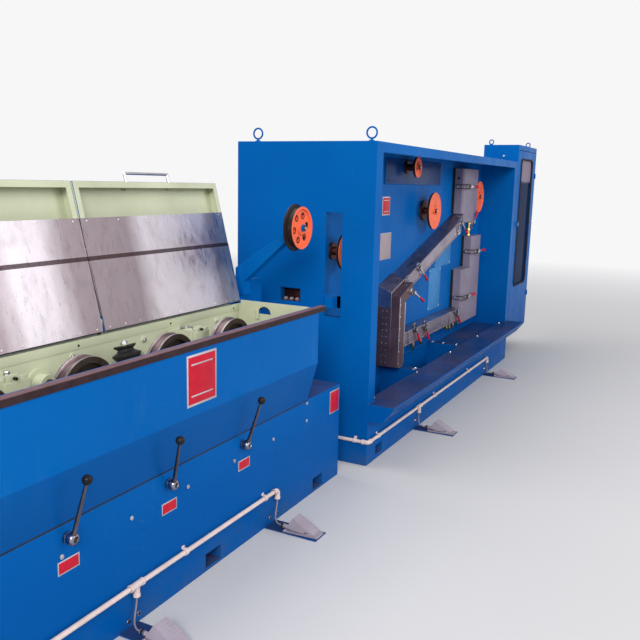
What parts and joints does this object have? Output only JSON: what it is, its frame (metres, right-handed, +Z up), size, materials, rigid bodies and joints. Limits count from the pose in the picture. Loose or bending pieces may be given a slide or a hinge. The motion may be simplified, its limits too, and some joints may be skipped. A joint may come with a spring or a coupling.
{
  "type": "wire drawing machine",
  "caption": "Wire drawing line: a deep base with a lidded tray of capstans and hand levers, a long annealer bay with pulleys, channels and foot switches, and a tall windowed tower.",
  "frame": {"origin": "middle of the underside of the drawing base, on the floor", "axes": "+X along the line from the drawing base towards the annealer and the tower, +Y to the back, +Z up"},
  "size_m": [6.71, 1.5, 2.092],
  "materials": {
    "blue_paint": "gloss",
    "green_paint": "satin",
    "edge_rubber": "matte",
    "stainless": "brushed",
    "chrome_rod": "polished",
    "dark_steel": "satin",
    "capstan_steel": "brushed",
    "black_plastic": "matte",
    "pale_plastic": "satin",
    "lead_sheath": "satin",
    "gray_paint": "satin",
    "bright_steel": "polished",
    "orange_enamel": "gloss",
    "window_glass": "polished"
  },
  "bodies": {
    "frame": {"drawing_base": "blue_paint", "gear_housing": "blue_paint", "tray": "green_paint", "tray_front": "green_paint", "tray_end_plate": "green_paint", "rim_strip": "edge_rubber", "lever_bosses": "dark_steel", "capstan_bearings": "dark_steel", "die_holders": "green_paint", "conduits": "pale_plastic", "switch_leads": "lead_sheath", "foot_switches": "gray_paint", "annealer_cabinet": "blue_paint", "annealer_end_wall": "blue_paint", "annealer_roof": "blue_paint", "annealer_right_post": "blue_paint", "annealer_sump": "blue_paint", "sill": "blue_paint", "contact_box": "stainless", "wire_channel": "stainless", "return_channel": "stainless", "upper_box": "gray_paint", "lower_box": "gray_paint", "toggle_clamps": "bright_steel", "pulley_brackets": "dark_steel", "support_arm": "blue_paint", "tower_body": "blue_paint", "eye_bolts": "blue_paint"},
    "lid_right": {"lid_right": "green_paint", "liner_right": "stainless", "handle_right": "chrome_rod"},
    "lid_left": {"lid_left": "green_paint", "liner_left": "stainless", "handle_left": "chrome_rod"},
    "lever_1": {"lever_1": "chrome_rod"},
    "lever_2": {"lever_2": "chrome_rod"},
    "lever_3": {"lever_3": "chrome_rod"},
    "capstan_1": {"capstan_1": "capstan_steel"},
    "capstan_2": {"capstan_2": "capstan_steel"},
    "capstan_3": {"capstan_3": "capstan_steel"},
    "capstan_4": {"capstan_4": "capstan_steel"},
    "guide_roller": {"guide_roller": "black_plastic"},
    "arm_pulley": {"arm_pulley": "orange_enamel"},
    "slot_pulley": {"slot_pulley": "orange_enamel"},
    "top_pulley": {"top_pulley": "orange_enamel"},
    "middle_pulley": {"middle_pulley": "orange_enamel"},
    "far_pulley": {"far_pulley": "orange_enamel"},
    "pedal_1": {"pedal_1": "gray_paint"},
    "pedal_2": {"pedal_2": "gray_paint"},
    "pedal_3": {"pedal_3": "gray_paint"},
    "pedal_4": {"pedal_4": "gray_paint"},
    "tower_door": {"tower_door": "blue_paint", "window_pane": "window_glass"}
  },
  "joints": [
    {"name": "lid_right_hinge", "type": "hinge", "parent": "frame", "child": "lid_right", "pos_m": [0.318, -0.124, 1.063], "axis": [1, 0, 0], "range_deg": [0, 104]},
    {"name": "lid_left_hinge", "type": "hinge", "parent": "frame", "child": "lid_left", "pos_m": [-0.682, -0.124, 1.063], "axis": [1, 0, 0], "range_deg": [0, 104]},
    {"name": "lever_1_pivot", "type": "hinge", "parent": "frame", "child": "lever_1", "pos_m": [0.224, -0.59, 0.487], "axis": [0, 1, 0], "range_deg": [-24, 24]},
    {"name": "lever_2_pivot", "type": "hinge", "parent": "frame", "child": "lever_2", "pos_m": [-0.296, -0.59, 0.487], "axis": [0, 1, 0], "range_deg": [-24, 24]},
    {"name": "lever_3_pivot", "type": "hinge", "parent": "frame", "child": "lever_3", "pos_m": [-0.816, -0.59, 0.487], "axis": [0, 1, 0], "range_deg": [-24, 24]},
    {"name": "capstan_1_spin", "type": "hinge", "parent": "frame", "child": "capstan_1", "pos_m": [-1, -0.379, 0.881], "axis": [0, 1, 0], "continuous": true},
    {"name": "capstan_2_spin", "type": "hinge", "parent": "frame", "child": "capstan_2", "pos_m": [-0.533, -0.379, 0.881], "axis": [0, 1, 0], "continuous": true},
    {"name": "capstan_3_spin", "type": "hinge", "parent": "frame", "child": "capstan_3", "pos_m": [-0.04, -0.379, 0.881], "axis": [0, 1, 0], "continuous": true},
    {"name": "capstan_4_spin", "type": "hinge", "parent": "frame", "child": "capstan_4", "pos_m": [0.401, -0.379, 0.881], "axis": [0, 1, 0], "continuous": true},
    {"name": "guide_roller_spin", "type": "hinge", "parent": "frame", "child": "guide_roller", "pos_m": [-0.198, -0.27935, 0.94764], "axis": [0, 0.2756, 0.9613], "continuous": true},
    {"name": "arm_pulley_spin", "type": "hinge", "parent": "frame", "child": "arm_pulley", "pos_m": [0.97, -0.431, 1.415], "axis": [0, 1, 0], "continuous": true},
    {"name": "slot_pulley_spin", "type": "hinge", "parent": "frame", "child": "slot_pulley", "pos_m": [1.516, -0.431, 1.253], "axis": [0, 1, 0], "continuous": true},
    {"name": "top_pulley_spin", "type": "hinge", "parent": "frame", "child": "top_pulley", "pos_m": [2.66, -0.431, 1.772], "axis": [0, 1, 0], "continuous": true},
    {"name": "middle_pulley_spin", "type": "hinge", "parent": "frame", "child": "middle_pulley", "pos_m": [3.066, -0.431, 1.457], "axis": [0, 1, 0], "continuous": true},
    {"name": "far_pulley_spin", "type": "hinge", "parent": "frame", "child": "far_pulley", "pos_m": [4.37, -0.401, 1.556], "axis": [0, 1, 0], "continuous": true},
    {"name": "pedal_1_tip", "type": "hinge", "parent": "frame", "child": "pedal_1", "pos_m": [-0.536, -0.801, 0.017], "axis": [1, 0, 0], "range_deg": [-3, 0], "stiffness_Nm_per_rad": 20, "springref_deg": 5.73},
    {"name": "pedal_2_tip", "type": "hinge", "parent": "frame", "child": "pedal_2", "pos_m": [0.47, -0.801, 0.017], "axis": [1, 0, 0], "range_deg": [-3, 0], "stiffness_Nm_per_rad": 20, "springref_deg": 5.73},
    {"name": "pedal_3_tip", "type": "hinge", "parent": "frame", "child": "pedal_3", "pos_m": [2.253, -0.893, 0.017], "axis": [1, 0, 0], "range_deg": [-3, 0], "stiffness_Nm_per_rad": 20, "springref_deg": 5.73},
    {"name": "pedal_4_tip", "type": "hinge", "parent": "frame", "child": "pedal_4", "pos_m": [3.992, -0.893, 0.017], "axis": [1, 0, 0], "range_deg": [-3, 0], "stiffness_Nm_per_rad": 20, "springref_deg": 5.73},
    {"name": "tower_door_hinge", "type": "hinge", "parent": "frame", "child": "tower_door", "pos_m": [5.4785, -0.663, 1.17], "axis": [0, 0, 1], "range_deg": [0, 110]}
  ]
}
